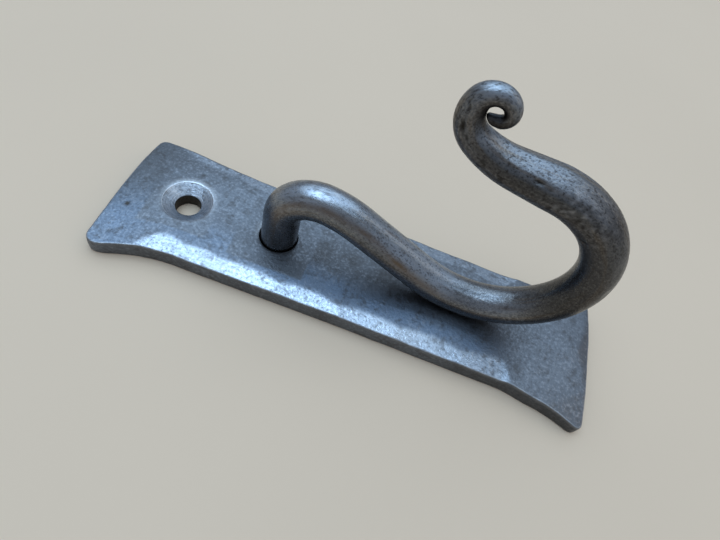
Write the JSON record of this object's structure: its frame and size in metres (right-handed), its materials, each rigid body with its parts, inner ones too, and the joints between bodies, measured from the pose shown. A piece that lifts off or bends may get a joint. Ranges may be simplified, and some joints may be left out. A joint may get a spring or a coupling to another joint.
{
  "type": "meat hook",
  "caption": "Hand-forged meat hook: a round-bar hook with a scrolled tip, set in a hammered backplate with a countersunk screw hole.",
  "frame": {"origin": "centre of the plate's back face", "axes": "+X along the plate, from the screw-hole end to the end under the big loop; +Y across the plate; +Z out of the plate's face, towards the hook"},
  "size_m": [0.109, 0.0334, 0.0579],
  "materials": {
    "plate_steel": "waxed hammered steel, blue-grey, satin",
    "bar_steel": "waxed forged steel, brownish black, satin",
    "weld_metal": "ground weld, waxed"
  },
  "bodies": {
    "root": {"backplate": "plate_steel", "hook": "bar_steel", "rear_weld": "weld_metal"}
  },
  "joints": []
}
